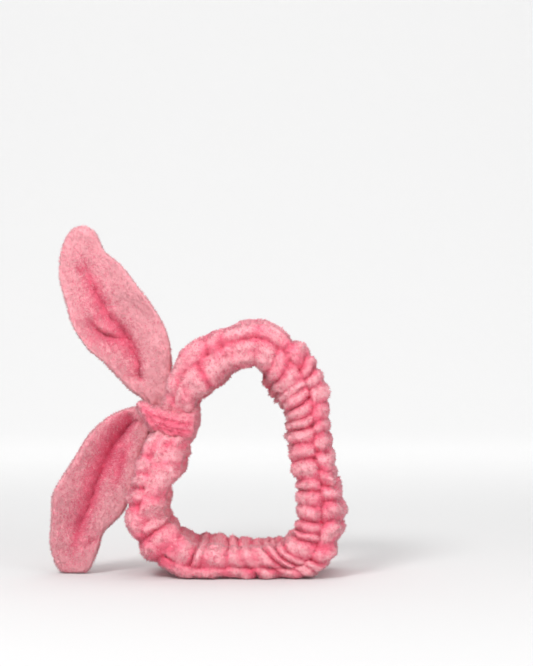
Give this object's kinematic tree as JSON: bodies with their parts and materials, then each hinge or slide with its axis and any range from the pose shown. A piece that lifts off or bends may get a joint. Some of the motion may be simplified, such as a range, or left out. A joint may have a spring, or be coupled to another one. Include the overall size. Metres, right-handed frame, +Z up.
{
  "type": "spa headband",
  "caption": "Gathered plush spa headband on an elastic loop, with a two-eared bow held by a wrapped knot.",
  "frame": {"origin": "on the ground, below the middle of the whole piece's box", "axes": "+Z up, +Y from the loop's front rim to its back rim, +X away from the bow"},
  "size_m": [0.2151, 0.062, 0.2502],
  "materials": {
    "band_cover": "short plush pile",
    "bow": "short plush pile",
    "elastic": "woven elastic",
    "thread": "sewing thread",
    "wadding": "soft fibre filling"
  },
  "bodies": {
    "knot_side": {"band_cover_knot_side": "band_cover", "elastic_knot_side": "elastic", "elastic_join_stitches": "thread", "band_end_seam": "band_cover", "side_seam_knot_side": "band_cover", "bow_waist": "bow", "knot_wrap": "bow", "knot_wrap_seam": "bow", "bow_tack_stitches": "thread"},
    "far_side": {"band_cover_far_side": "band_cover", "elastic_far_side": "elastic", "side_seam_far_side": "band_cover"},
    "upper_ear_neck": {"upper_ear_neck": "bow"},
    "upper_ear": {"upper_ear_front_panel": "bow", "upper_ear_back_panel": "bow", "upper_ear_wadding": "wadding", "upper_ear_seam": "thread"},
    "lower_ear_neck": {"lower_ear_neck": "bow"},
    "lower_ear": {"lower_ear_front_panel": "bow", "lower_ear_back_panel": "bow", "lower_ear_wadding": "wadding", "lower_ear_seam": "thread"}
  },
  "joints": [
    {"name": "band_stretch", "type": "slide", "parent": "knot_side", "child": "far_side", "axis": [1, 0, 0], "range_m": [0, 0.08], "stiffness_N_per_m": 90},
    {"name": "upper_ear_swing", "type": "hinge", "parent": "knot_side", "child": "upper_ear_neck", "pos_m": [-0.031, 0, 0.127], "axis": [0, 1, 0], "range_deg": [-28, 4], "stiffness_Nm_per_rad": 0.05},
    {"name": "upper_ear_flop", "type": "hinge", "parent": "upper_ear_neck", "child": "upper_ear", "pos_m": [-0.03578, 0, 0.138], "axis": [0.9171, 0, 0.3987], "range_deg": [-32, 32], "stiffness_Nm_per_rad": 0.05},
    {"name": "lower_ear_swing", "type": "hinge", "parent": "knot_side", "child": "lower_ear_neck", "pos_m": [-0.039, 0, 0.112], "axis": [0, 1, 0], "range_deg": [0, 12], "stiffness_Nm_per_rad": 0.05},
    {"name": "lower_ear_flop", "type": "hinge", "parent": "lower_ear_neck", "child": "lower_ear", "pos_m": [-0.04407, 0, 0.10112], "axis": [-0.9063, 0, 0.4226], "range_deg": [-32, 32], "stiffness_Nm_per_rad": 0.05}
  ]
}
